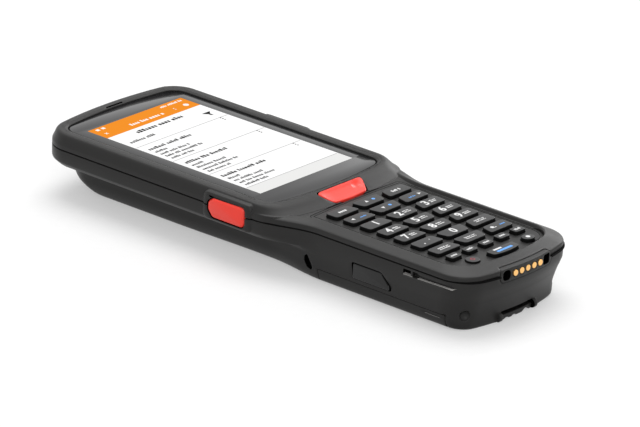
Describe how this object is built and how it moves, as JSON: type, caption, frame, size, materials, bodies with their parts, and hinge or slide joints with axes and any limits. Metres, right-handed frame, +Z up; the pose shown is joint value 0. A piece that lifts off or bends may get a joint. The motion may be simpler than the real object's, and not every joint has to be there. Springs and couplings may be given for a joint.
{
  "type": "portable barcode data terminal",
  "caption": "Handheld barcode data terminal: glass-fronted display head, drawn-in waist, keypad tail with square-cut keys, red scan keys, charging pins and a battery door under the tail.",
  "frame": {"origin": "middle of the body on its resting plane", "axes": "+Z up through the display, +Y to the scanning end, +X to the user's right with the display up"},
  "size_m": [0.0792, 0.2099, 0.0258],
  "materials": {
    "shell": "fine-textured dark grey moulding",
    "rear_shell": "fine-textured near-black moulding",
    "panel": "smooth matt dark grey",
    "black_plastic": "matt black",
    "latch_plastic": "satin near-black",
    "red_plastic": "glossy red",
    "key_rubber": "matt silicone with a hard cap",
    "seal": "soft black seal",
    "cover_glass": "clear with a dark printed border",
    "scan_glass": "dark red optical window",
    "display": "lit display",
    "mesh": "black mesh over a black can",
    "gold_contact": "gold-plated",
    "steel": "dark zinc",
    "plate_metal": "bare sheet",
    "circuit_board": "green solder mask",
    "battery": "matt wrapped cell pack"
  },
  "bodies": {
    "terminal": {"front_housing": "shell", "rear_housing": "rear_shell", "housing_gasket": "seal", "housing_screws": "steel", "touch_glass": "cover_glass", "display_panel": "display", "display_frame": "plate_metal", "receiver": "mesh", "keypad_panel": "panel", "keypad_mat": "seal", "key_domes": "gold_contact", "keypad_board": "circuit_board", "main_board": "circuit_board", "scan_engine": "plate_metal", "scan_window": "scan_glass", "loudspeaker": "mesh", "side_switches": "circuit_board", "contact_block": "black_plastic", "charging_pins": "gold_contact", "strap_bar": "steel", "battery_pack": "battery", "battery_contacts": "gold_contact"},
    "battery_door": {"battery_door": "rear_shell"},
    "door_latch_left": {"door_latch_left": "latch_plastic"},
    "door_latch_right": {"door_latch_right": "latch_plastic"},
    "front_scan_key": {"front_scan_key": "red_plastic"},
    "left_scan_button": {"left_scan_button": "red_plastic"},
    "volume_rocker": {"volume_rocker": "latch_plastic"},
    "key_escape": {"key_escape": "key_rubber"},
    "key_up": {"key_up": "key_rubber"},
    "key_enter": {"key_enter": "key_rubber"},
    "key_left": {"key_left": "key_rubber"},
    "key_down": {"key_down": "key_rubber"},
    "key_right": {"key_right": "key_rubber"},
    "key_1": {"key_1": "key_rubber"},
    "key_2": {"key_2": "key_rubber"},
    "key_3": {"key_3": "key_rubber"},
    "key_4": {"key_4": "key_rubber"},
    "key_5": {"key_5": "key_rubber"},
    "key_6": {"key_6": "key_rubber"},
    "key_7": {"key_7": "key_rubber"},
    "key_8": {"key_8": "key_rubber"},
    "key_9": {"key_9": "key_rubber"},
    "key_point": {"key_point": "key_rubber"},
    "key_0": {"key_0": "key_rubber"},
    "key_symbol": {"key_symbol": "key_rubber"},
    "key_input": {"key_input": "key_rubber"},
    "key_clear": {"key_clear": "key_rubber"},
    "key_tools": {"key_tools": "key_rubber"},
    "key_f1": {"key_f1": "key_rubber"},
    "key_f2": {"key_f2": "key_rubber"},
    "key_f3": {"key_f3": "key_rubber"},
    "key_f4": {"key_f4": "key_rubber"},
    "key_f5": {"key_f5": "key_rubber"},
    "key_power": {"key_power": "key_rubber"},
    "key_function": {"key_function": "key_rubber"},
    "key_settings": {"key_settings": "key_rubber"}
  },
  "joints": [
    {"name": "key_escape_press", "type": "slide", "parent": "terminal", "child": "key_escape", "axis": [0, 0, -1], "range_m": [0, 0.0005], "stiffness_N_per_m": 200, "springref_m": -0.002},
    {"name": "key_up_press", "type": "slide", "parent": "terminal", "child": "key_up", "axis": [0, 0, -1], "range_m": [0, 0.0005], "stiffness_N_per_m": 200, "springref_m": -0.002},
    {"name": "key_enter_press", "type": "slide", "parent": "terminal", "child": "key_enter", "axis": [0, 0, -1], "range_m": [0, 0.0005], "stiffness_N_per_m": 200, "springref_m": -0.002},
    {"name": "key_left_press", "type": "slide", "parent": "terminal", "child": "key_left", "axis": [0, 0, -1], "range_m": [0, 0.0005], "stiffness_N_per_m": 200, "springref_m": -0.002},
    {"name": "key_down_press", "type": "slide", "parent": "terminal", "child": "key_down", "axis": [0, 0, -1], "range_m": [0, 0.0005], "stiffness_N_per_m": 200, "springref_m": -0.002},
    {"name": "key_right_press", "type": "slide", "parent": "terminal", "child": "key_right", "axis": [0, 0, -1], "range_m": [0, 0.0005], "stiffness_N_per_m": 200, "springref_m": -0.002},
    {"name": "key_1_press", "type": "slide", "parent": "terminal", "child": "key_1", "axis": [0, 0, -1], "range_m": [0, 0.0005], "stiffness_N_per_m": 200, "springref_m": -0.002},
    {"name": "key_2_press", "type": "slide", "parent": "terminal", "child": "key_2", "axis": [0, 0, -1], "range_m": [0, 0.0005], "stiffness_N_per_m": 200, "springref_m": -0.002},
    {"name": "key_3_press", "type": "slide", "parent": "terminal", "child": "key_3", "axis": [0, 0, -1], "range_m": [0, 0.0005], "stiffness_N_per_m": 200, "springref_m": -0.002},
    {"name": "key_4_press", "type": "slide", "parent": "terminal", "child": "key_4", "axis": [0, 0, -1], "range_m": [0, 0.0005], "stiffness_N_per_m": 200, "springref_m": -0.002},
    {"name": "key_5_press", "type": "slide", "parent": "terminal", "child": "key_5", "axis": [0, 0, -1], "range_m": [0, 0.0005], "stiffness_N_per_m": 200, "springref_m": -0.002},
    {"name": "key_6_press", "type": "slide", "parent": "terminal", "child": "key_6", "axis": [0, 0, -1], "range_m": [0, 0.0005], "stiffness_N_per_m": 200, "springref_m": -0.002},
    {"name": "key_7_press", "type": "slide", "parent": "terminal", "child": "key_7", "axis": [0, 0, -1], "range_m": [0, 0.0005], "stiffness_N_per_m": 200, "springref_m": -0.002},
    {"name": "key_8_press", "type": "slide", "parent": "terminal", "child": "key_8", "axis": [0, 0, -1], "range_m": [0, 0.0005], "stiffness_N_per_m": 200, "springref_m": -0.002},
    {"name": "key_9_press", "type": "slide", "parent": "terminal", "child": "key_9", "axis": [0, 0, -1], "range_m": [0, 0.0005], "stiffness_N_per_m": 200, "springref_m": -0.002},
    {"name": "key_point_press", "type": "slide", "parent": "terminal", "child": "key_point", "axis": [0, 0, -1], "range_m": [0, 0.0005], "stiffness_N_per_m": 200, "springref_m": -0.002},
    {"name": "key_0_press", "type": "slide", "parent": "terminal", "child": "key_0", "axis": [0, 0, -1], "range_m": [0, 0.0005], "stiffness_N_per_m": 200, "springref_m": -0.002},
    {"name": "key_symbol_press", "type": "slide", "parent": "terminal", "child": "key_symbol", "axis": [0, 0, -1], "range_m": [0, 0.0005], "stiffness_N_per_m": 200, "springref_m": -0.002},
    {"name": "key_input_press", "type": "slide", "parent": "terminal", "child": "key_input", "axis": [0, 0, -1], "range_m": [0, 0.0005], "stiffness_N_per_m": 200, "springref_m": -0.002},
    {"name": "key_clear_press", "type": "slide", "parent": "terminal", "child": "key_clear", "axis": [0, 0, -1], "range_m": [0, 0.0005], "stiffness_N_per_m": 200, "springref_m": -0.002},
    {"name": "key_tools_press", "type": "slide", "parent": "terminal", "child": "key_tools", "axis": [0, 0, -1], "range_m": [0, 0.0005], "stiffness_N_per_m": 200, "springref_m": -0.002},
    {"name": "key_f1_press", "type": "slide", "parent": "terminal", "child": "key_f1", "axis": [0, 0, -1], "range_m": [0, 0.0005], "stiffness_N_per_m": 200, "springref_m": -0.002},
    {"name": "key_f2_press", "type": "slide", "parent": "terminal", "child": "key_f2", "axis": [0, 0, -1], "range_m": [0, 0.0005], "stiffness_N_per_m": 200, "springref_m": -0.002},
    {"name": "key_f3_press", "type": "slide", "parent": "terminal", "child": "key_f3", "axis": [0, 0, -1], "range_m": [0, 0.0005], "stiffness_N_per_m": 200, "springref_m": -0.002},
    {"name": "key_f4_press", "type": "slide", "parent": "terminal", "child": "key_f4", "axis": [0, 0, -1], "range_m": [0, 0.0005], "stiffness_N_per_m": 200, "springref_m": -0.002},
    {"name": "key_f5_press", "type": "slide", "parent": "terminal", "child": "key_f5", "axis": [0, 0, -1], "range_m": [0, 0.0005], "stiffness_N_per_m": 200, "springref_m": -0.002},
    {"name": "key_power_press", "type": "slide", "parent": "terminal", "child": "key_power", "axis": [0, 0, -1], "range_m": [0, 0.0005], "stiffness_N_per_m": 200, "springref_m": -0.002},
    {"name": "key_function_press", "type": "slide", "parent": "terminal", "child": "key_function", "axis": [0, 0, -1], "range_m": [0, 0.0005], "stiffness_N_per_m": 200, "springref_m": -0.002},
    {"name": "key_settings_press", "type": "slide", "parent": "terminal", "child": "key_settings", "axis": [0, 0, -1], "range_m": [0, 0.0005], "stiffness_N_per_m": 200, "springref_m": -0.002},
    {"name": "front_scan_press", "type": "slide", "parent": "terminal", "child": "front_scan_key", "axis": [0, 0.3523, -0.9359], "range_m": [0, 0.0005], "stiffness_N_per_m": 200, "springref_m": -0.002},
    {"name": "left_scan_press", "type": "slide", "parent": "terminal", "child": "left_scan_button", "axis": [1, 0, 0], "range_m": [0, 0.0008], "stiffness_N_per_m": 200, "springref_m": -0.002},
    {"name": "volume_rock", "type": "hinge", "parent": "terminal", "child": "volume_rocker", "pos_m": [0.0375, 0.0443, 0.0196], "axis": [0, 0, 1], "range_deg": [-3, 3], "stiffness_Nm_per_rad": 0.02},
    {"name": "door_hinge", "type": "hinge", "parent": "terminal", "child": "battery_door", "pos_m": [0, -0.0891, 0.0011], "axis": [-1, 0, 0], "range_deg": [0, 75]},
    {"name": "latch_left_press", "type": "slide", "parent": "terminal", "child": "door_latch_left", "axis": [1, 0, 0], "range_m": [0, 0.0012], "stiffness_N_per_m": 200, "springref_m": -0.002},
    {"name": "latch_right_press", "type": "slide", "parent": "terminal", "child": "door_latch_right", "axis": [-1, 0, 0], "range_m": [0, 0.0012], "stiffness_N_per_m": 200, "springref_m": -0.002}
  ]
}
